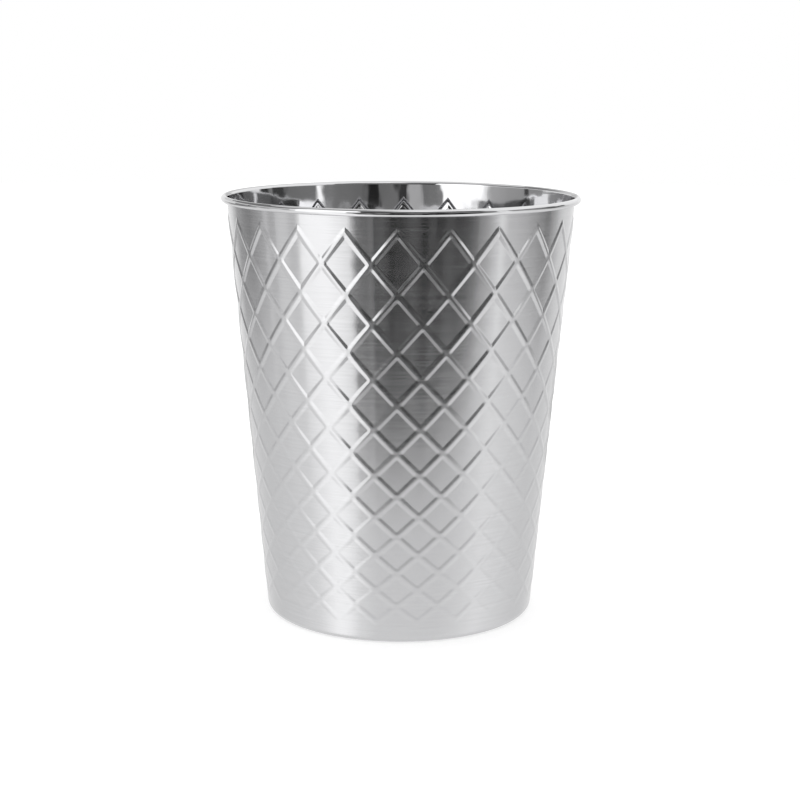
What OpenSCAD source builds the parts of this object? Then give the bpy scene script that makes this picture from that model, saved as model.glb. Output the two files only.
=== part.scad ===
// Tapered wastebasket of embossed stainless sheet: a rolled and welded wall with a
// curled rim, a wire inside the curl, and a pressed base pan nested in the turned-in foot.
// Millimetres, +Z up, origin on the floor at the centre of the base.

/* [Basket] */
// Overall height, rim included
basket_h = 285; // [240:1:340]
// Diameter over the rim bead
rim_d = 241; // [220:1:280]
// Diameter of the wall where its slope would meet the floor
base_d = 182.5; // [160:0.5:210]
// Thickness of the steel sheet
sheet_t = 0.5; // [0.4:0.05:0.7]

/* [Rim] */
// Outside diameter of the curled bead
bead_d = 4.4; // [4:0.1:6]
// Open slit between the wall and the free edge of the curl
curl_slit = 0.4; // [0.2:0.1:0.7]
// Gap between the curl and the wire inside it
wire_gap = 0.1; // [0.05:0.05:0.3]

/* [Foot] */
// Outside radius of the turned-in bottom corner
foot_r = 5; // [3:0.5:8]
// Flat width of the turned-in flange that the basket stands on
flange_w = 10; // [6:0.5:16]

/* [Base pan] */
// Gap between the pan's edge and the foot corner around it
pan_gap = 0.1; // [0.05:0.05:0.3]
// Height of the pan's lip above the foot corner
lip_h = 2.5; // [1:0.5:5]
// How far the middle panel is raised above the flange
panel_lift = 5; // [4:0.5:8]
// Radius of the stiffening ring pressed into the panel
ring_r = 42; // [25:1:52]
// Width of the stiffening ring at its root
ring_w = 9; // [6:0.5:14]
// Height of the stiffening ring
ring_h = 1.2; // [0.6:0.1:2]

/* [Lattice] */
// Diamonds round the basket
diamonds = 22; // [16:1:26]
// Half rows of diamonds from top to bottom
half_rows = 17; // [11:1:19]
// Height of each half row as a share of the one above it
row_ratio = 0.9624; // [0.94:0.0001:0.99]
// Plain band between the rim and the peaks of the top row
top_band = 8.7; // [6:0.1:30]
// Plain band between the foot and the tips of the bottom row
foot_band = 5.5; // [5:0.1:30]
// Half width of a pressed ridge at its root
ridge_half_w = 2.6; // [1.2:0.1:3]
// Height that a ridge stands proud of the wall
ridge_h = 0.5; // [0.3:0.05:1.2]

/* [Hidden] */
$fn = 120;

steel_satin = [0.72, 0.72, 0.73];
steel_bright = [0.80, 0.80, 0.81];
steel_wire = [0.62, 0.62, 0.63];

// Rim: the bead's radii and its centre in the radial section
bead_r = bead_d / 2;
bore_r = bead_r - sheet_t;
bead_cr = rim_d / 2 - bead_r;
bead_cz = basket_h - bead_r;

// Wall: a straight taper from the floor, which runs into the curl without a step
base_r = base_d / 2;
bead_run = bead_cr - base_r;
taper_deg = acos(bore_r / norm([bead_run, bead_cz])) - atan2(bead_cz, bead_run);
taper = tan(taper_deg);
wall_w = sheet_t / cos(taper_deg);
function wall_r(z) = base_r + taper * z;

// Foot: the centre of the corner's arc, which touches the floor and the wall
foot_cr = wall_r(foot_r) - foot_r / cos(taper_deg);
flange_in_r = foot_cr - flange_w;

// Longest step along the arcs of a turned sheet, in degrees
arc_step = 7.5;

// Plain wall between the embossed wall and the bead or the pan's lip
join_h = 1.5;
// How far the embossed wall runs into the plain bands
join_bite = 0.6;
foot_join_z = foot_r + lip_h + join_h;
rim_join_z = basket_h - bead_d - join_h;

// The embossed wall's edges lie this far inside each face of the bands around them
edge_inset = 0.14;
// Fewest straight sides on the embossed wall's edges
edge_sides = 130;

// Lattice: half columns round the basket, and the heights of the crossings
half_cols = 2 * diamonds;
col_deg = 360 / half_cols;
lattice_top_z = rim_join_z - top_band;
lattice_foot_z = foot_join_z + foot_band;
first_row_h = (lattice_top_z - lattice_foot_z) * (1 - row_ratio) / (1 - pow(row_ratio, half_rows));
function row_z(j) = lattice_top_z - first_row_h * (1 - pow(row_ratio, j)) / (1 - row_ratio);

// A point on the wall: half columns round from the front, height, and height above the outside face
function wall_point(col, z, lift) =
    let (r = wall_r(z) + lift, a = col * col_deg - 90)
    [r * cos(a), r * sin(a), z];

// Width of one half column at a height, and the insets of a ridge's root from its crest
function col_w(z) = wall_r(z) * col_deg * PI / 180;
function inset_z(z, h) = ridge_half_w * norm([col_w(z), h]) / col_w(z);
function inset_col(z, h) = ridge_half_w * norm([col_w(z), h]) / h / col_w(z);

// One face of the embossed wall, as points: edge, zigzag root, crossings, diamond corners, zigzag root, edge
edge_div = ceil(edge_sides / half_cols);
edge_n = half_cols * edge_div;
upper_zig_at = edge_n;
cross_at = upper_zig_at + half_cols;
corner_at = cross_at + (half_rows + 1) * diamonds;
lower_zig_at = corner_at + (half_rows - 1) * diamonds * 4;
lower_edge_at = lower_zig_at + half_cols;
skin_n = lower_edge_at + edge_n;

function edge_points(z, lift) = [for (k = [0:edge_n - 1]) wall_point(k / edge_div, z, lift)];

// The ridge root above the top zigzag (way 1) or below the bottom one (way -1)
function zig_points(tip_row, notch_row, way, lift) =
    let (h = abs(row_z(tip_row) - row_z(notch_row)))
    [for (i = [0:half_cols - 1])
        let (z = row_z((i - tip_row) % 2 == 0 ? tip_row : notch_row))
        wall_point(i, z + way * inset_z(z, h), lift)];

function cross_points(lift) =
    [for (j = [0:half_rows], k = [0:diamonds - 1])
        wall_point(2 * k + j % 2, row_z(j), lift + ridge_h)];

// Corners of the flat inside each diamond: top, right, bottom, left
function corner_points(lift) =
    [for (j = [1:half_rows - 1], k = [0:diamonds - 1])
        let (i = 2 * k + (j + 1) % 2,
             z = row_z(j),
             up = row_z(j - 1) - z,
             down = z - row_z(j + 1),
             side = (inset_col(z, up) + inset_col(z, down)) / 2)
        each [wall_point(i, z + up - inset_z(z + up, up), lift),
              wall_point(i + 1 - side, z, lift),
              wall_point(i, z - down + inset_z(z - down, down), lift),
              wall_point(i - 1 + side, z, lift)]];

function skin_points(lift, edge_lift) = concat(
    edge_points(rim_join_z + join_bite, edge_lift),
    zig_points(0, 1, 1, lift),
    cross_points(lift),
    corner_points(lift),
    zig_points(half_rows, half_rows - 1, -1, lift),
    edge_points(foot_join_z - join_bite, edge_lift));

// Where a point of the skin is in its list
function wrap(i) = (i + half_cols) % half_cols;
function upper_edge(k) = k % edge_n;
function lower_edge(k) = lower_edge_at + k % edge_n;
function upper_zig(i) = upper_zig_at + wrap(i);
function lower_zig(i) = lower_zig_at + wrap(i);
function crossing(i, j) = cross_at + j * diamonds + floor(wrap(i) / 2);
function corner(j, k, c) = corner_at + ((j - 1) * diamonds + k) * 4 + c;

function quad(a, b, c, d) = [[a, b, c], [a, c, d]];

// Faces of one skin, clockwise from outside
band_faces = [for (i = [0:half_cols - 1])
    each concat(
        [for (s = [0:edge_div - 1])
            each [[upper_edge(i * edge_div + s), upper_edge(i * edge_div + s + 1), upper_zig(i)],
                  [lower_zig(i), lower_edge(i * edge_div + s + 1), lower_edge(i * edge_div + s)]]],
        [[upper_edge((i + 1) * edge_div), upper_zig(i + 1), upper_zig(i)],
         [lower_zig(i), lower_zig(i + 1), lower_edge((i + 1) * edge_div)]])];

zigzag_faces = [for (i = [0:half_cols - 1])
    let (last = half_rows,
         here_down = (i - last) % 2 == 0 ? last : last - 1,
         next_down = (i + 1 - last) % 2 == 0 ? last : last - 1)
    each concat(
        quad(upper_zig(i), upper_zig(i + 1), crossing(i + 1, (i + 1) % 2), crossing(i, i % 2)),
        quad(crossing(i, here_down), crossing(i + 1, next_down), lower_zig(i + 1), lower_zig(i)))];

diamond_faces = [for (j = [1:half_rows - 1], k = [0:diamonds - 1])
    let (i = 2 * k + (j + 1) % 2,
         top = crossing(i, j - 1),
         right = crossing(i + 1, j),
         bottom = crossing(i, j + 1),
         left = crossing(i - 1, j),
         in_top = corner(j, k, 0),
         in_right = corner(j, k, 1),
         in_bottom = corner(j, k, 2),
         in_left = corner(j, k, 3))
    each concat(
        [[in_top, in_right, in_bottom], [in_top, in_bottom, in_left]],
        quad(top, right, in_right, in_top),
        quad(right, bottom, in_bottom, in_right),
        quad(bottom, left, in_left, in_bottom),
        quad(left, top, in_top, in_left))];

skin_faces = concat(band_faces, zigzag_faces, diamond_faces);

// The embossed sheet: an outside skin, the same skin one sheet further in, and the two edges
module embossed_wall() {
    edge_faces = [for (k = [0:edge_n - 1])
        each concat(
            quad(upper_edge(k + 1), upper_edge(k), skin_n + upper_edge(k), skin_n + upper_edge(k + 1)),
            quad(lower_edge(k), lower_edge(k + 1), skin_n + lower_edge(k + 1), skin_n + lower_edge(k)))];
    inside_faces = [for (f = skin_faces) [skin_n + f[2], skin_n + f[1], skin_n + f[0]]];
    polyhedron(
        points = concat(skin_points(0, -edge_inset), skin_points(-wall_w, edge_inset - wall_w)),
        faces = concat(skin_faces, inside_faces, edge_faces));
}

// Points along an arc in the radial section, from one angle to another
function arc(centre, r, from, to) =
    let (n = ceil(abs(to - from) / arc_step))
    [for (k = [0:n]) let (a = from + (to - from) * k / n) centre + r * [cos(a), sin(a)]];

// Radial section of a sheet between its two faces, both listed the same way along it
module sheet_section(face, back) {
    polygon(concat(face, [for (n = [len(back) - 1:-1:0]) back[n]]));
}

// The curl runs from the wall over the top and stops short of the wall underneath
module rim_curl() {
    centre = [bead_cr, bead_cz];
    start_deg = 180 - taper_deg;
    end_deg = start_deg + acos((bore_r - curl_slit) / bead_r) - 360;
    rotate_extrude()
        sheet_section(
            concat([[wall_r(rim_join_z), rim_join_z]], arc(centre, bore_r, start_deg, end_deg)),
            concat([[wall_r(rim_join_z) - wall_w, rim_join_z]], arc(centre, bead_r, start_deg, end_deg)));
}

// The wall turns in at the foot and ends in a level flange
module turned_foot() {
    centre = [foot_cr, foot_r];
    rotate_extrude()
        sheet_section(
            concat([[flange_in_r, 0]],
                   arc(centre, foot_r, -90, -taper_deg),
                   [[wall_r(foot_join_z), foot_join_z]]),
            concat([[flange_in_r, sheet_t]],
                   arc(centre, foot_r - sheet_t, -90, -taper_deg),
                   [[wall_r(foot_join_z) - wall_w, foot_join_z]]));
}

module body_shell() {
    color(steel_satin)
        union() {
            embossed_wall();
            rim_curl();
            turned_foot();
        }
}

module rim_wire() {
    color(steel_wire)
        rotate_extrude()
            translate([bead_cr, bead_cz]) circle(r = bore_r - wire_gap);
}

// A pressed plate: lip and corner nested in the foot, land on the flange, raised panel with a ring
module base_pan() {
    corner_r = foot_r - sheet_t - pan_gap;
    corner = [foot_cr, corner_r + sheet_t];
    lip_z = foot_r + lip_h;
    lip_r = wall_r(lip_z) - wall_r(corner[1]) + foot_cr + corner_r / cos(taper_deg);
    land_z = sheet_t;
    panel_z = land_z + panel_lift;
    panel_r = flange_in_r - panel_lift;
    run = [[0, panel_z],
           [ring_r - ring_w / 2, panel_z],
           [ring_r - ring_w / 4, panel_z + ring_h],
           [ring_r + ring_w / 4, panel_z + ring_h],
           [ring_r + ring_w / 2, panel_z],
           [panel_r, panel_z],
           [flange_in_r, land_z]];
    color(steel_bright)
        rotate_extrude()
            sheet_section(
                concat(run, arc(corner, corner_r, -90, -taper_deg), [[lip_r, lip_z]]),
                concat([for (p = run) p + [0, sheet_t]],
                       arc(corner, corner_r - sheet_t, -90, -taper_deg),
                       [[lip_r - wall_w, lip_z]]));
}

body_shell();
rim_wire();
base_pan();
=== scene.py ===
import math

import bmesh
import bpy
import numpy as np
from mathutils import Matrix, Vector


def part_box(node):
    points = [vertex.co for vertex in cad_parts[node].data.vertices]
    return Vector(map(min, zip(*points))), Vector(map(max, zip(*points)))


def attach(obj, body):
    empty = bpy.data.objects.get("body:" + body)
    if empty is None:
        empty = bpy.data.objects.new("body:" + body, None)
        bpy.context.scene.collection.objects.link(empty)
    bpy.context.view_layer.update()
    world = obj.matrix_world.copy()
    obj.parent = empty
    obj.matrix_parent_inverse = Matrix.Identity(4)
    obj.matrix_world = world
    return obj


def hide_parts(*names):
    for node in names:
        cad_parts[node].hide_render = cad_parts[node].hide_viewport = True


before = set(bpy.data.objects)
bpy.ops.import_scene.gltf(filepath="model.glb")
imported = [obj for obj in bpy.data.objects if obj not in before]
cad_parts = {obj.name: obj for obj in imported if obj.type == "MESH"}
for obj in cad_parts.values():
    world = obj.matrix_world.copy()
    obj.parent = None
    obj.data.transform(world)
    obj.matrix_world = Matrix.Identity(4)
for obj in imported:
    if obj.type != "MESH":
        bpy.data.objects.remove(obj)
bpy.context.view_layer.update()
print("frame loaded:", ", ".join(sorted(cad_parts)))

mm = 0.001
mergeDistance = 0.004 * mm  # points nearer than this become one
sharpDegrees = 40  # edges sharper than this aren't smoothed
noiseSpan = (0.3, 0.7)  # the part of a noise's range that counts
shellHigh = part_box("body_shell")[1]


# The basket's sheet, in metres; radii and heights are to the outside face of the wall
basket = {
    "height": shellHigh.z,
    "rimRadius": shellHigh.x,
    "baseRadius": 91.25 * mm,  # where the wall's slope would meet the floor
    "sheet": 0.5 * mm,
    "beadRadius": 2.2 * mm,
    "curlSlit": 0.4 * mm,  # between the wall and the curl's free edge
    "curlSteps": 30,
    "curlDroop": 1.1,  # the lower half of the curl against a round one
    "curlLead": 0.93,  # share of the way from the plain band to the curl that stays straight
    "plainBand": 1.5 * mm,  # plain wall kept next to the bead and the pan's lip
    "footRadius": 5 * mm,
    "footSteps": 8,
    "flangeWidth": 10 * mm,
    "flangeSteps": (0.3, 1.0),  # shares of the flange's width
}
basket["boreRadius"] = basket["beadRadius"] - basket["sheet"]
basket["beadR"] = basket["rimRadius"] - basket["beadRadius"]
basket["beadZ"] = basket["height"] - basket["beadRadius"]
beadRun = basket["beadR"] - basket["baseRadius"]
# the wall leans so that it runs into the curl without a step
basket["lean"] = (math.acos(basket["boreRadius"] / math.hypot(beadRun, basket["beadZ"]))
                  - math.atan2(basket["beadZ"], beadRun))
basket["wallWidth"] = basket["sheet"] / math.cos(basket["lean"])


def wallRadius(z):
    return basket["baseRadius"] + math.tan(basket["lean"]) * z


basket["footR"] = wallRadius(basket["footRadius"]) - basket["footRadius"] / math.cos(basket["lean"])


# The pressed lattice: diamonds round the basket, half rows down it
lattice = {
    "diamonds": 22,
    "halfRows": 17,
    "rowRatio": 0.9624,  # each half row against the one above
    "top": 270.4 * mm,  # peaks of the top row
    "foot": 14.5 * mm,  # tips of the bottom row
    "ridgeHeight": 0.52 * mm,
    "depthRows": (1, 3, 5, 7, 10, 16),  # the ridges get lower down the basket
    "depthShares": (1, 0.9, 0.625, 0.587, 0.51, 0.48),  # as shares of the full height at these rows
    "ridgeHalfWidth": 2.6 * mm,
    "grooveHalfWidth": 2.1 * mm,  # the same ridge from the inside
    "crestHalfWidth": 0.6 * mm,  # the flat on top of a ridge
    "crestRound": 0.15 * mm,
    "rootRound": 0.2 * mm,
    "wallEdge": 0.15 * mm,  # narrow steps that keep the walls and the diamonds flat
    "padEdge": 0.3 * mm,
    "cornerRound": 3.0 * mm,  # how far from a crossing its corners are rounded
    "padSteps": 3,  # mesh steps across the flat of a diamond
    "bandSteepness": 1.15,  # the walls next to the plain bands are a little steeper
    "bandSteps": (0.2, 0.45, 0.72, 1.0),  # mesh steps across a plain band, as shares
}
halfColumns = 2 * lattice["diamonds"]
columnAngle = 2 * math.pi / halfColumns
rowShare = (1 - lattice["rowRatio"] ** lattice["halfRows"]) / (1 - lattice["rowRatio"])
firstRow = (lattice["top"] - lattice["foot"]) / rowShare


def rowHeight(row):
    ratio = lattice["rowRatio"]
    return lattice["top"] - firstRow * (1 - ratio ** np.asarray(row, float)) / (1 - ratio)


# Half column width and half row height at a row, and the ridge's slant there
def diamondSize(row):
    across = wallRadius(rowHeight(row)) * columnAngle
    down = firstRow * lattice["rowRatio"] ** row
    return across, down, math.hypot(across, down)


# Height of a ridge at a distance from its middle: flat crest, straight walls, small rounds between
def ridgeLift(distance, side):
    height, crest = lattice["ridgeHeight"], lattice["crestHalfWidth"]
    half = lattice["grooveHalfWidth"] if side else lattice["ridgeHalfWidth"]
    crestRound, rootRound = lattice["crestRound"], lattice["rootRound"]
    slope = height / (half - crest)
    distance = np.asarray(distance, float)
    shoulder = height - slope * (distance - crest + crestRound) ** 2 / (4 * crestRound)
    straight = height - slope * (distance - crest)
    root = slope * (half + rootRound - distance) ** 2 / (4 * rootRound)
    return np.select(
        [distance <= crest - crestRound, distance <= crest + crestRound,
         distance <= half - rootRound, distance <= half + rootRound],
        [height, shoulder, straight, root], 0.0)


# Share of the full ridge height at a row
def depthShare(row):
    return np.interp(row, lattice["depthRows"], lattice["depthShares"])


# Distance to the nearer of two ridges, rounded where they meet
def nearerRidge(first, second):
    reach = lattice["cornerRound"]
    return reach - np.hypot(np.maximum(reach - first, 0), np.maximum(reach - second, 0))


# Places on a ridge, from its middle to just past its root
ridgeKnots = np.array([
    0,
    lattice["crestHalfWidth"] - lattice["crestRound"],
    lattice["crestHalfWidth"] + lattice["crestRound"],
    lattice["crestHalfWidth"] + lattice["crestRound"] + lattice["wallEdge"],
    lattice["ridgeHalfWidth"] - lattice["rootRound"] - lattice["wallEdge"],
    lattice["ridgeHalfWidth"] - lattice["rootRound"],
    lattice["ridgeHalfWidth"] + lattice["rootRound"],
    lattice["ridgeHalfWidth"] + lattice["rootRound"] + lattice["padEdge"],
])
sideDistance = np.concatenate([ridgeKnots, [1.0] * (lattice["padSteps"] - 1), ridgeKnots[::-1]])
sideSteps = len(sideDistance) - 1


# Places along one side of a diamond, from a crossing on rowA to one on rowB
def sideSamples(rowA, rowB):
    ends = []
    for row in (rowA, rowB):
        across, down, slant = diamondSize(row)
        ends.append(ridgeKnots * slant / (2 * across * down))
    flat = np.linspace(ends[0][-1], 1 - ends[1][-1], lattice["padSteps"] + 1)
    return np.concatenate([ends[0][:-1], flat, 1 - ends[1][::-1][1:]])


# Points on the wall: half columns round from the front, height, lift above the cone
def wallPoints(column, z, lift):
    angle = np.asarray(column, float) * columnAngle
    radius = wallRadius(np.asarray(z, float)) + lift
    angle, radius, z = np.broadcast_arrays(angle, radius, z)
    return np.stack([radius * np.sin(angle), -radius * np.cos(angle), z], -1)


# Collects points and faces, each face with its material's place in the piece's list
class SheetMesh:
    def __init__(self):
        self.points = []
        self.faces = []
        self.finish = []
        self.count = 0

    def add(self, points):
        start = self.count
        self.points.append(np.asarray(points, float).reshape(-1, 3))
        self.count += len(self.points[-1])
        return start

    def face(self, corners, finish, flip):
        self.faces.append(tuple(reversed(corners)) if flip else tuple(corners))
        self.finish.append(finish)

    # A net of points that closes round the basket
    def net(self, points, finish, flip):
        rows, columns = points.shape[:2]
        start = self.add(points)
        for r in range(rows - 1):
            for c in range(columns):
                d = (c + 1) % columns
                here, below = start + r * columns, start + (r + 1) * columns
                self.face((here + c, here + d, below + d, below + c), finish, flip)

    def build(self, name, materials):
        mesh = bpy.data.meshes.new(name)
        mesh.from_pydata(np.concatenate(self.points).tolist(), [], self.faces)
        for material in materials:
            mesh.materials.append(material)
        mesh.polygons.foreach_set("material_index", self.finish)
        work = bmesh.new()
        work.from_mesh(mesh)
        bmesh.ops.remove_doubles(work, verts=work.verts, dist=mergeDistance)
        work.to_mesh(mesh)
        work.free()
        mesh.polygons.foreach_set("use_smooth", [True] * len(mesh.polygons))
        mesh.set_sharp_from_angle(angle=math.radians(sharpDegrees))
        piece = bpy.data.objects.new(name, mesh)
        bpy.context.scene.collection.objects.link(piece)
        return piece


# One diamond: a net that follows its four ridges, split along the mitres at its corners
def addDiamond(sheet, column, row, side):
    upper, lower = sideSamples(row - 1, row), sideSamples(row, row + 1)
    middle = (upper + lower) / 2
    s = upper[:, None] * (1 - middle[None, :]) + lower[:, None] * middle[None, :]
    t = upper[None, :] * (1 - middle[:, None]) + lower[None, :] * middle[:, None]
    rows = row - 1 + s + t
    distance = nearerRidge(sideDistance[:, None], sideDistance[None, :])
    lift = ridgeLift(distance, side) * depthShare(rows)
    start = sheet.add(wallPoints(column + s - t, rowHeight(rows), lift - side * basket["wallWidth"]))
    size = sideSteps + 1
    for i in range(sideSteps):
        for j in range(sideSteps):
            a = start + i * size + j
            b, c, d = a + size, a + size + 1, a + 1
            if i == j:
                sheet.face((a, b, c), side, side == 0)
                sheet.face((a, c, d), side, side == 0)
            elif i + j == sideSteps - 1:
                sheet.face((a, b, d), side, side == 0)
                sheet.face((b, c, d), side, side == 0)
            else:
                sheet.face((a, b, c, d), side, side == 0)


# The zigzag crest of the top row (tip 0, notch 1) or the bottom one, as columns and rows
def zigzag(tip, notch):
    columns, rows = [], []
    for i in range(halfColumns):
        rowA, rowB = (tip, notch) if (i - tip) % 2 == 0 else (notch, tip)
        run = sideSamples(rowA, rowB) if rowA < rowB else 1 - sideSamples(rowB, rowA)[::-1]
        columns.append(i + run[:-1])
        rows.append(rowA + (rowB - rowA) * run[:-1])
    return np.concatenate(columns), np.concatenate(rows)


# Distance from a point to a slanted ridge that runs from (0, 0) out and down
def slantDistance(x, y, across, down):
    share = np.clip((x * across - y * down) / (across ** 2 + down ** 2), 0, 1)
    return np.hypot(x - share * across, y + share * down)


# From the crest of a zigzag to a level edge, with the ridge's round ends at the tips
def addBand(sheet, tip, notch, edgeHeight, side):
    columns, rows = zigzag(tip, notch)
    across, down, slant = diamondSize((tip + notch) / 2)
    crest = rowHeight(rows)
    way = 1 if edgeHeight > lattice["top"] else -1
    fromTip = np.abs((columns - tip + 1) % 2 - 1) * across
    heights = [crest + way * knot * slant / across for knot in ridgeKnots]
    root = heights[-1]
    heights += [root + (edgeHeight - root) * share for share in lattice["bandSteps"]]
    nets = []
    for z in heights:
        beyond = way * (z - rowHeight(tip))
        own = slantDistance(fromTip, beyond, across, down)
        other = slantDistance(2 * across - fromTip, beyond, across, down)
        distance = nearerRidge(own, other) * lattice["bandSteepness"]
        lift = np.where(z == crest, lattice["ridgeHeight"], ridgeLift(distance, side))
        lift = lift * depthShare(rows)
        nets.append(wallPoints(columns, z, lift - side * basket["wallWidth"]))
    sheet.net(np.stack(nets), side, (way > 0) == (side == 1))
    return columns


# A radial section, as radius and height, swept round on the columns of a band
def sweepSection(sheet, columns, section, finish, flip):
    angle = np.asarray(columns) * columnAngle
    nets = [np.stack([r * np.sin(angle), -r * np.cos(angle), np.full_like(angle, z)], -1)
            for r, z in section]
    sheet.net(np.stack(nets), finish, flip)


def arcPoints(centre, radius, start, end, steps):
    return [(centre[0] + radius * math.cos(turn), centre[1] + radius * math.sin(turn))
            for turn in np.linspace(start, end, steps + 1)]


# From the plain band over the top to the curl's free edge, on one side of the sheet:
# 0 is the outside, 1 the inside, here and below
def rimSection(side, startHeight):
    centre = (basket["beadR"], basket["beadZ"])
    radius = basket["beadRadius"] if side else basket["boreRadius"]
    start = math.pi - basket["lean"]
    slitTurn = math.acos((basket["boreRadius"] - basket["curlSlit"]) / basket["beadRadius"])
    end = start + slitTurn - 2 * math.pi
    wall = (wallRadius(startHeight) - side * basket["wallWidth"], startHeight)
    curl = arcPoints(centre, radius, start, end, basket["curlSteps"])
    curl = [(r, z) if z > centre[1] else (r, centre[1] + basket["curlDroop"] * (z - centre[1]))
            for r, z in curl]
    # a loop just short of the curl keeps the wall straight up to it
    nearCurl = tuple(np.array(wall) + basket["curlLead"] * (np.array(curl[0]) - wall))
    return [wall, nearCurl] + curl


# From the plain band round the corner to the flange's inner edge
def footSection(side, startHeight):
    centre = (basket["footR"], basket["footRadius"])
    radius = basket["footRadius"] - side * basket["sheet"]
    wall = (wallRadius(startHeight) - side * basket["wallWidth"], startHeight)
    corner = arcPoints(centre, radius, -basket["lean"], -math.pi / 2, basket["footSteps"])
    flange = [(basket["footR"] - basket["flangeWidth"] * share, side * basket["sheet"])
              for share in basket["flangeSteps"]]
    return [wall] + corner + flange


def makeShell(outsideFinish, insideFinish):
    sheet = SheetMesh()
    bandTop = basket["height"] - 2 * basket["beadRadius"] - basket["plainBand"]
    bandFoot = basket["footRadius"] + pan["lipHeight"] + basket["plainBand"]
    rows = lattice["halfRows"]
    ends = []
    for side in (0, 1):
        for row in range(1, rows):
            for k in range(lattice["diamonds"]):
                addDiamond(sheet, 2 * k + (row + 1) % 2, row, side)
        topColumns = addBand(sheet, 0, 1, bandTop, side)
        footColumns = addBand(sheet, rows, rows - 1, bandFoot, side)
        rim = rimSection(side, bandTop)
        foot = footSection(side, bandFoot)
        sweepSection(sheet, topColumns, rim, side, side == 1)
        sweepSection(sheet, footColumns, foot, side, side == 0)
        ends.append((rim[-1], foot[-1]))
    sweepSection(sheet, topColumns, [ends[0][0], ends[1][0]], 1, False)
    sweepSection(sheet, footColumns, [ends[0][1], ends[1][1]], 1, True)
    return sheet.build("embossedShell", [outsideFinish, insideFinish])


# The floor plate: a lip in the foot corner, a land on the flange, a raised panel with a ring
pan = {
    "gap": 0.1 * mm,
    "lipHeight": 2.5 * mm,  # above the foot corner
    "panelLift": 5 * mm,
    "ringRadius": 42 * mm,
    "ringWidth": 9 * mm,
    "ringHeight": 1.2 * mm,
    "bendRadius": 2.5 * mm,
    "bendShare": 0.45,  # the most of a straight run that one bend takes up
    "bendSteps": 5,
    "roundSteps": 144,
}


# Rounds each inner corner of a path with a short curve
def roundedPath(corners, radius, steps):
    path = [corners[0]]
    for before, corner, after in zip(corners, corners[1:], corners[2:]):
        before, corner, after = np.array(before), np.array(corner), np.array(after)
        runIn, runOut = np.linalg.norm(before - corner), np.linalg.norm(after - corner)
        reach = min(radius, pan["bendShare"] * runIn, pan["bendShare"] * runOut)
        start = corner + reach * (before - corner) / runIn
        end = corner + reach * (after - corner) / runOut
        for share in np.linspace(0, 1, steps + 1):
            rest = 1 - share
            path.append(tuple(rest ** 2 * start + 2 * share * rest * corner + share ** 2 * end))
    return path + [corners[-1]]


# A path moved sideways by a distance, to its left when positive
def offsetPath(path, distance):
    path = np.array(path)
    run = np.gradient(path, axis=0)
    run /= np.linalg.norm(run, axis=1)[:, None]
    moved = path + distance * np.stack([-run[:, 1], run[:, 0]], -1)
    moved[0, 0] = 0
    return [tuple(point) for point in moved]


def makePan(finish):
    half = basket["sheet"] / 2
    landZ = basket["sheet"] + half
    panelZ = landZ + pan["panelLift"]
    landR = basket["footR"] - basket["flangeWidth"]
    ring, width, ringZ = pan["ringRadius"], pan["ringWidth"], panelZ + pan["ringHeight"]
    corners = [
        (0, panelZ), (ring - width / 2, panelZ), (ring - width / 4, ringZ), (ring + width / 4, ringZ),
        (ring + width / 2, panelZ), (landR - pan["panelLift"], panelZ), (landR, landZ),
        (basket["footR"], landZ),
    ]
    pressed = roundedPath(corners, pan["bendRadius"], pan["bendSteps"])
    cornerRadius = basket["footRadius"] - basket["sheet"] - pan["gap"] - half
    corner = (basket["footR"], cornerRadius + landZ)
    turned = arcPoints(corner, cornerRadius, -math.pi / 2, -basket["lean"], basket["footSteps"])
    lipZ = basket["footRadius"] + pan["lipHeight"]
    lip = (turned[-1][0] + math.tan(basket["lean"]) * (lipZ - turned[-1][1]), lipZ)
    path = pressed[:-1] + turned + [lip]
    faces = [offsetPath(path, half), offsetPath(path, -half)]
    columns = np.arange(pan["roundSteps"]) * halfColumns / pan["roundSteps"]
    sheet = SheetMesh()
    sweepSection(sheet, columns, faces[0], 0, False)
    sweepSection(sheet, columns, faces[1], 0, True)
    sweepSection(sheet, columns, [faces[0][-1], faces[1][-1]], 0, False)
    return sheet.build("pressedPan", [finish])


# Materials
def newMaterial(name):
    material = bpy.data.materials.new(name)
    material.use_nodes = True
    tree = material.node_tree
    shader = tree.nodes["Principled BSDF"]
    shader.inputs["Metallic"].default_value = 1.0
    return material, tree, shader


def link(tree, fromSocket, toSocket):
    tree.links.new(fromSocket, toSocket)


def mathNode(tree, operation, *values):
    node = tree.nodes.new("ShaderNodeMath")
    node.operation = operation
    for socket, value in zip(node.inputs, values):
        if isinstance(value, (int, float)):
            socket.default_value = value
        else:
            link(tree, value, socket)
    return node.outputs[0]


def lengthOf(tree, x, y):
    squares = [mathNode(tree, "MULTIPLY", side, side) for side in (x, y)]
    return mathNode(tree, "SQRT", mathNode(tree, "ADD", *squares))


# Where a point is on the basket: angle round from the front, distance from the axis, height
def roundPlace(tree):
    place = tree.nodes.new("ShaderNodeTexCoord")
    parts = tree.nodes.new("ShaderNodeSeparateXYZ")
    link(tree, place.outputs["Object"], parts.inputs[0])
    x, y, z = (parts.outputs[axis] for axis in "XYZ")
    angle = mathNode(tree, "ARCTAN2", x, mathNode(tree, "MULTIPLY", y, -1.0))
    return angle, lengthOf(tree, x, y), z


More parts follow.
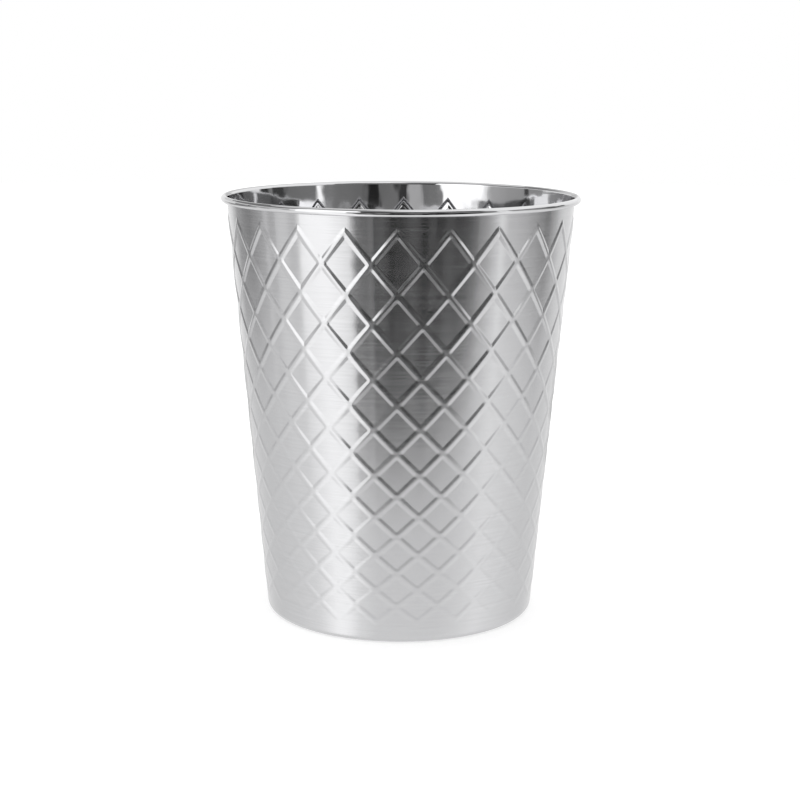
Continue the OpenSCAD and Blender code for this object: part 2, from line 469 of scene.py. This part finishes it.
# Noise drawn out round the basket or up it; its scales are per radian round it and per metre up it
def streaks(tree, place, roundScale, upScale, detail):
    angle, radius, z = place
    joined = tree.nodes.new("ShaderNodeCombineXYZ")
    for axis, operation in (("X", "SINE"), ("Y", "COSINE")):
        turn = mathNode(tree, operation, angle)
        link(tree, mathNode(tree, "MULTIPLY", turn, roundScale), joined.inputs[axis])
    height = mathNode(tree, "ADD", z, radius)
    link(tree, mathNode(tree, "MULTIPLY", height, upScale), joined.inputs["Z"])
    node = tree.nodes.new("ShaderNodeTexNoise")
    node.inputs["Scale"].default_value = 1.0
    node.inputs["Detail"].default_value = detail
    link(tree, joined.outputs[0], node.inputs["Vector"])
    return node.outputs["Fac"]


def ramp(tree, value, fromLow, fromHigh, toLow, toHigh):
    node = tree.nodes.new("ShaderNodeMapRange")
    names = ("From Min", "From Max", "To Min", "To Max")
    for name, number in zip(names, (fromLow, fromHigh, toLow, toHigh)):
        node.inputs[name].default_value = number
    link(tree, value, node.inputs["Value"])
    return node.outputs["Result"]


def bump(tree, height, strength, distance):
    node = tree.nodes.new("ShaderNodeBump")
    link(tree, strength, node.inputs["Strength"])
    node.inputs["Distance"].default_value = distance
    link(tree, height, node.inputs["Height"])
    return node.outputs["Normal"]


def blend(tree, factor, first, second):
    node = tree.nodes.new("ShaderNodeMix")
    node.data_type = "RGBA"
    for socket, colour in ((node.inputs["A"], first), (node.inputs["B"], second)):
        if isinstance(colour, tuple):
            socket.default_value = (*colour, 1)
        else:
            link(tree, colour, socket)
    link(tree, factor, node.inputs["Factor"])
    return node.outputs["Result"]


def scaled(colour, factor):
    return tuple(min(part * factor, 1) for part in colour)


# Spot welds that hold the pan to the flange, drawn as heat tint only: full within the dent size,
# fading out to the tint's reach
welds = {
    "count": 12,
    "ringRadius": basket["footR"] - basket["flangeWidth"] / 2,
    "dent": 1.4 * mm,
    "tintReach": 3.2 * mm,
    "tint": (0.40, 0.33, 0.27),
    "tintOutside": 0.6,
    "tintInside": 0.7,
}


# Distance from the nearest spot weld
def weldDistance(tree, place):
    angle, radius, z = place
    pitch = 2 * math.pi / welds["count"]
    turn = mathNode(tree, "PINGPONG", angle, pitch / 2)
    along = mathNode(tree, "MULTIPLY", turn, welds["ringRadius"])
    out = mathNode(tree, "SUBTRACT", radius, welds["ringRadius"])
    return lengthOf(tree, along, out)


# A steel colour with the welds' heat tint over it
def tinted(tree, place, steel, strength):
    spot = weldDistance(tree, place)
    tint = ramp(tree, spot, welds["dent"], welds["tintReach"], strength, 0)
    return blend(tree, tint, steel, welds["tint"])


# The outside: fine brush lines round the basket
brushedSteel = {
    "colour": (0.62, 0.62, 0.63),
    "roughness": (0.17, 0.21),
    "anisotropy": 1.0,
    "brushTurn": 0.25,  # in turns
    "grain": (2.3, 1200.0, 3.0),  # scales round and up, detail
    "toneSpread": 0.08,
}


def makeBrushedSteel():
    material, tree, shader = newMaterial("brushedSteel")
    shader.inputs["Anisotropic"].default_value = brushedSteel["anisotropy"]
    shader.inputs["Anisotropic Rotation"].default_value = brushedSteel["brushTurn"]
    tangent = tree.nodes.new("ShaderNodeTangent")
    tangent.direction_type = "RADIAL"
    tangent.axis = "Z"
    link(tree, tangent.outputs[0], shader.inputs["Tangent"])
    place = roundPlace(tree)
    grain = streaks(tree, place, *brushedSteel["grain"])
    link(tree, ramp(tree, grain, *noiseSpan, *brushedSteel["roughness"]), shader.inputs["Roughness"])
    colour, spread = brushedSteel["colour"], brushedSteel["toneSpread"]
    steel = blend(tree, grain, scaled(colour, 1 - spread), scaled(colour, 1 + spread))
    link(tree, tinted(tree, place, steel, welds["tintOutside"]), shader.inputs["Base Color"])
    return material


# The inside, the rim and the pan: bright sheet with a faint roll grain and a slight waviness
brightSteel = {
    "colour": (0.67, 0.67, 0.68),
    "roughness": (0.04, 0.08),
    "haze": (30.0, 25.0, 4.0),
    "wave": (9.0, 45.0, 1.0),
    "waveDepth": 0.3 * mm,  # at the rim
    "waveCalm": 0.1,  # share of it that is left further down
    "waveHeights": (215 * mm, 258 * mm),  # calm below the first, full above the second
}


def makeBrightSteel():
    material, tree, shader = newMaterial("brightSteel")
    place = roundPlace(tree)
    haze = streaks(tree, place, *brightSteel["haze"])
    link(tree, ramp(tree, haze, *noiseSpan, *brightSteel["roughness"]), shader.inputs["Roughness"])
    colour = tinted(tree, place, brightSteel["colour"], welds["tintInside"])
    link(tree, colour, shader.inputs["Base Color"])
    wave = streaks(tree, place, *brightSteel["wave"])
    strength = ramp(tree, place[2], *brightSteel["waveHeights"], brightSteel["waveCalm"], 1.0)
    link(tree, bump(tree, wave, strength, brightSteel["waveDepth"]), shader.inputs["Normal"])
    return material


# The wire in the curl: dull, with drawing lines along it
wireSteel = {
    "colour": (0.5, 0.5, 0.51),
    "roughness": (0.35, 0.5),
    "grain": (2.0, 3000.0, 2.0),
}


def makeWireSteel():
    material, tree, shader = newMaterial("wireSteel")
    shader.inputs["Base Color"].default_value = (*wireSteel["colour"], 1)
    drawn = streaks(tree, roundPlace(tree), *wireSteel["grain"])
    link(tree, ramp(tree, drawn, *noiseSpan, *wireSteel["roughness"]), shader.inputs["Roughness"])
    return material


# The stage, in metres: a pale floor, and a white table in a light tent with a dark front,
# which only the metal mirrors
studio = {
    "floorRadius": 4.0,
    "floorPoints": 60,
    "floorDrop": 0.1 * mm,  # a hair under the foot, so that the two don't share a plane
    "floorColour": (0.8, 0.8, 0.8),
    "floorGlow": 0.42,  # on top of the light that falls on it
    "floorInMetal": 0.93,  # the floor as the metal shows it
    "tentRadius": 0.95,
    "tentStep": 3,  # degrees between the tent's points, besides those of its stops
    "tableStep": 2,  # the same for the table
    "rearStep": 5,  # and for the floor behind it
    "tentHeights": (0, 0.24, 0.44, 0.52, 0.63, 1.15),  # where each ring of the tent starts
    "overhead": (0.25, 1.6),  # radius and height of the opening over the tent
    "tableStart": 93 * mm,
    "tableEdge": 0.385,  # the table's front and rear edges, from the basket's axis
    "edgeShare": 0.93,  # how far round the front edge reaches against the tent behind it
    "tableLift": 0.5 * mm,
}
# The tent's glow round the basket, in degrees from the camera towards the right; 1 is white
tentGlow = [
    (-180, 0.6), (-172, 0.6), (-168, 0.95), (-143, 0.9), (-131, 0.42), (-112, 0.24), (-104, 0.39),
    (-96, 0.48), (-94.5, 0.76), (-92.5, 0.74), (-90.5, 0.52), (-87, 0.52), (-84, 0.8),
    (-81, 0.88), (-75.5, 0.86), (-71.5, 0.6), (-68, 0.6), (-66, 0.8), (-64.2, 1.5), (-58, 1.6),
    (-45, 1.5), (-38, 1.27), (-30, 1.1), (-29.4, 0.12), (-26, 0.16), (-22, 0.17), (-21, 0.14),
    (-18.5, 0.23), (-17, 0.23), (-15, 0.06), (-11, 0.09), (-9, 0.06), (-6, 0.02), (-3.5, 0),
    (-2, 0.05), (1, 0.03), (4, 0.05), (9, 0.1), (11, 0.06), (13.5, 0.03), (15, 0), (17, 0),
    (18.5, 0.03), (20, 0.08), (22.5, 0.08), (23.5, 0.015), (26, 0.015), (29.5, 0.06), (34, 0.05),
    (36, 0), (42, 0.01), (46, 0.06), (49, 0.08), (51, 0.16), (53, 0.25), (56, 0.3), (60, 0.43),
    (64.5, 0.72), (66.3, 1.08), (68.5, 1.05), (71, 0.74), (74, 0.67), (84, 0.58), (88, 0.52),
    (93, 0.41), (97, 0.4), (101, 0.3), (104, 0.31), (106, 0.2), (109, 0.2), (114, 0.4),
    (120, 0.6), (128, 0.84), (140, 0.9), (168, 0.95), (172, 0.6), (180, 0.6),
]
# The same above the rim's height, which the bright inside mirrors
upperGlow = [
    (-180, 0.6), (-172, 0.6), (-166, 0.95), (-123, 0.95), (-119.5, 0.34), (-105, 0.33),
    (-104, 0.06), (-102, 0.06), (-100.5, 0.36), (-82, 0.42), (-68, 0.5), (-62, 1.6), (-30, 1.6),
    (-28, 0.25), (-15, 0.2), (-12, 0.52), (-7, 0.52), (-4, 0.05), (3, 0.05), (6, 0.21),
    (16, 0.18), (18.5, 0.02), (25.5, 0.02), (28, 0.18), (50, 0.22), (58.5, 0.24), (60, 1.4),
    (65.5, 1.4), (67.5, 0.23), (91.5, 0.2), (94, 0.06), (105, 0.06), (107.5, 0.24), (110.5, 0.24),
    (112.5, 0.05), (118.5, 0.05), (121, 1.0), (166, 1.0), (172, 0.6), (180, 0.6),
]
# Higher up, where the inside mirrors itself
topGlow = [
    (-180, 0.7), (-70, 0.9), (-62, 2.0), (-25, 2.0), (-23, 0.05), (-3, 0.05), (1, 0.14),
    (40, 0.14), (60, 0.5), (107, 0.5), (112, 1.1), (165, 1.1), (180, 0.7),
]
# A grey band over it
highGlow = [
    (-180, 0.7), (-70, 0.9), (-62, 2.0), (-25, 2.0), (-23, 0.05), (-6, 0.05), (-4, 0.5),
    (107, 0.5), (112, 1.1), (165, 1.1), (180, 0.7),
]
# And the brow of the tent, which makes the bead's dark lines
browGlow = [
    (-180, 0.7), (-160, 0.6), (-150, 0.25), (-80, 0.22), (-70, 0.5), (-62, 1.6), (-29, 1.6),
    (-27, 0.05), (54, 0.03), (63, 1.2), (160, 1.1), (180, 0.7),
]
# Overhead, which the top of the bead mirrors
overheadGlow = [
    (-180, 1.0), (-140, 0.9), (-100, 0.6), (-62, 0.42), (-18, 0.38), (-5, 0.7), (3, 0.95),
    (23, 1.25), (46, 0.7), (60, 1.25), (86, 1.1), (140, 1.2), (180, 1.0),
]
# The table's glow, by the angle of the wall that shows it
tableGlow = [
    (-90, 0.92), (-74, 0.88), (-61, 0.84), (-45, 0.93), (-33, 1.07), (-25, 1.4), (-21, 1.35),
    (-16, 1.1), (-9, 0.97), (16, 0.95), (25, 1.02), (33, 1.12), (41, 1.03), (57, 0.88),
    (66, 0.85), (74, 0.88), (90, 0.85),
]
# Where the dark front of the tent shows past the table's edge
darkFront = (-28.5, 64)
# The grey floor behind the table, which the rear of the basket mirrors
rearGlow = [(145, 0.93), (158, 0.5), (202, 0.5), (215, 0.93)]


def meshPiece(name, points, faces, material):
    mesh = bpy.data.meshes.new(name)
    mesh.from_pydata(points, [], faces)
    mesh.materials.append(material)
    mesh.update()
    piece = bpy.data.objects.new(name, mesh)
    bpy.context.scene.collection.objects.link(piece)
    return piece


def ringPoint(radius, degrees, z):
    turn = math.radians(degrees)
    return (radius * math.sin(turn), -radius * math.cos(turn), z)


def emptyMaterial(name):
    material = bpy.data.materials.new(name)
    material.use_nodes = True
    # found by the reflected rays alone, which keeps the dark metal free of specks
    material.cycles.emission_sampling = "NONE"
    tree = material.node_tree
    tree.nodes.clear()
    return material, tree, tree.nodes.new("ShaderNodeOutputMaterial")


def makeGlowing():
    material, tree, out = emptyMaterial("tentLight")
    level = tree.nodes.new("ShaderNodeAttribute")
    level.attribute_name = "glow"
    glow = tree.nodes.new("ShaderNodeEmission")
    link(tree, level.outputs["Fac"], glow.inputs["Strength"])
    link(tree, glow.outputs[0], out.inputs["Surface"])
    return material


# A strip between two rows of points that only the metal's reflections see
def glowStrip(name, nearRow, farRow, glow, material):
    count = len(glow)
    faces = [(n, n + 1, count + n + 1, count + n) for n in range(count - 1)]
    strip = meshPiece(name, nearRow + farRow, faces, material)
    levels = strip.data.attributes.new("glow", "FLOAT", "POINT")
    levels.data.foreach_set("value", list(glow) * 2)
    strip.visible_camera = False
    strip.visible_diffuse = False
    strip.visible_shadow = False


def makeTent():
    material = makeGlowing()
    radius, lift = studio["tentRadius"], studio["tableLift"]
    rings = [("tentLower", tentGlow), ("tentUpper", upperGlow), ("tentTop", topGlow),
             ("tentHigh", highGlow), ("tentBrow", browGlow), ("overhead", overheadGlow)]
    hoops = [(radius, height) for height in studio["tentHeights"]] + [studio["overhead"]]
    for (name, stops), low, high in zip(rings, hoops, hoops[1:]):
        angles = {*range(-180, 181, studio["tentStep"]), *[angle for angle, level in stops]}
        angles = np.array(sorted(angles))
        glow = np.interp(angles, *zip(*stops))
        glowStrip(name, [ringPoint(low[0], a, low[1]) for a in angles],
                  [ringPoint(high[0], a, high[1]) for a in angles], glow, material)
    # the wall at an angle mirrors the table along a line towards twice that angle
    wallAngles = list(range(-90, 91, studio["tableStep"]))
    glowStrip("table", [ringPoint(studio["tableStart"], a, lift) for a in wallAngles],
              [ringPoint(radius, 2 * a, lift) for a in wallAngles],
              np.interp(wallAngles, *zip(*tableGlow)), material)
    left, right = darkFront
    front = [left] + [a for a, level in tentGlow if left < a < right] + [right]
    edge = []
    for a in front:
        reach = studio["tableEdge"] / math.cos(math.radians(a))
        edge.append(ringPoint(reach, studio["edgeShare"] * a, 2 * lift))
    glowStrip("frontDark", edge, [ringPoint(radius, a, 2 * lift) for a in front],
              np.interp(front, *zip(*tentGlow)), material)
    rear = list(range(rearGlow[0][0], rearGlow[-1][0] + 1, studio["rearStep"]))
    glowStrip("rearGrey", [ringPoint(studio["tableEdge"], a, 2 * lift) for a in rear],
              [ringPoint(radius, a, 2 * lift) for a in rear],
              np.interp(rear, *zip(*rearGlow)), material)


def makeFloor():
    material, tree, out = emptyMaterial("paleFloor")
    diffuse = tree.nodes.new("ShaderNodeBsdfDiffuse")
    diffuse.inputs["Color"].default_value = (*studio["floorColour"], 1)
    glow = tree.nodes.new("ShaderNodeEmission")
    path = tree.nodes.new("ShaderNodeLightPath")
    seen = mathNode(tree, "MULTIPLY", path.outputs["Is Camera Ray"], studio["floorGlow"])
    link(tree, seen, glow.inputs["Strength"])
    lit = tree.nodes.new("ShaderNodeAddShader")
    link(tree, diffuse.outputs[0], lit.inputs[0])
    link(tree, glow.outputs[0], lit.inputs[1])
    mirrored = tree.nodes.new("ShaderNodeEmission")
    mirrored.inputs["Strength"].default_value = studio["floorInMetal"]
    either = tree.nodes.new("ShaderNodeMixShader")
    link(tree, path.outputs["Is Glossy Ray"], either.inputs["Fac"])
    link(tree, lit.outputs[0], either.inputs[1])
    link(tree, mirrored.outputs[0], either.inputs[2])
    link(tree, either.outputs[0], out.inputs["Surface"])
    count = studio["floorPoints"]
    points = [ringPoint(studio["floorRadius"], 360 * n / count, -studio["floorDrop"])
              for n in range(count)]
    floor = meshPiece("floor", points, [tuple(range(count))], material)


def makeSurround():
    world = bpy.data.worlds.new("whiteSurround")
    bpy.context.scene.world = world
    world.cycles.sampling_method = "NONE"
    world.use_nodes = True
    background = world.node_tree.nodes["Background"]
    background.inputs["Color"].default_value = (1, 1, 1, 1)
    background.inputs["Strength"].default_value = 1.0


# The photograph's view: angle round the basket, distance, height, tilt, roll and lens
view = {
    "azimuth": 1.0,
    "distance": 1.19,
    "height": 0.3804,
    "pitch": 11.24,
    "roll": 0.28,
    "lens": 79.44,
    "sensor": 36,
}


def makeCamera():
    data = bpy.data.cameras.new("camera")
    data.lens = view["lens"]
    data.sensor_width = view["sensor"]
    data.sensor_fit = "HORIZONTAL"
    camera = bpy.data.objects.new("camera", data)
    camera.location = ringPoint(view["distance"], view["azimuth"], view["height"])
    turns = ((view["azimuth"], "Z"), (90 - view["pitch"], "X"), (view["roll"], "Z"))
    facing = Matrix.Identity(3)
    for degrees, axis in turns:
        facing = facing @ Matrix.Rotation(math.radians(degrees), 3, axis)
    camera.rotation_euler = facing.to_euler()
    bpy.context.scene.collection.objects.link(camera)
    bpy.context.scene.camera = camera


makeCamera()
makeSurround()
makeFloor()
makeTent()
bpy.context.scene.view_settings.view_transform = "Standard"
print("camera and studio set")

outsideFinish = makeBrushedSteel()
insideFinish = makeBrightSteel()
shell = makeShell(outsideFinish, insideFinish)
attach(shell, "root")
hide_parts("body_shell")
print("shell:", len(shell.data.polygons), "faces")

floorPan = makePan(insideFinish)
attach(floorPan, "root")
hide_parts("base_pan")
print("pan:", len(floorPan.data.polygons), "faces")

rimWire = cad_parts["rim_wire"]
rimWire.data.materials.clear()
rimWire.data.materials.append(makeWireSteel())
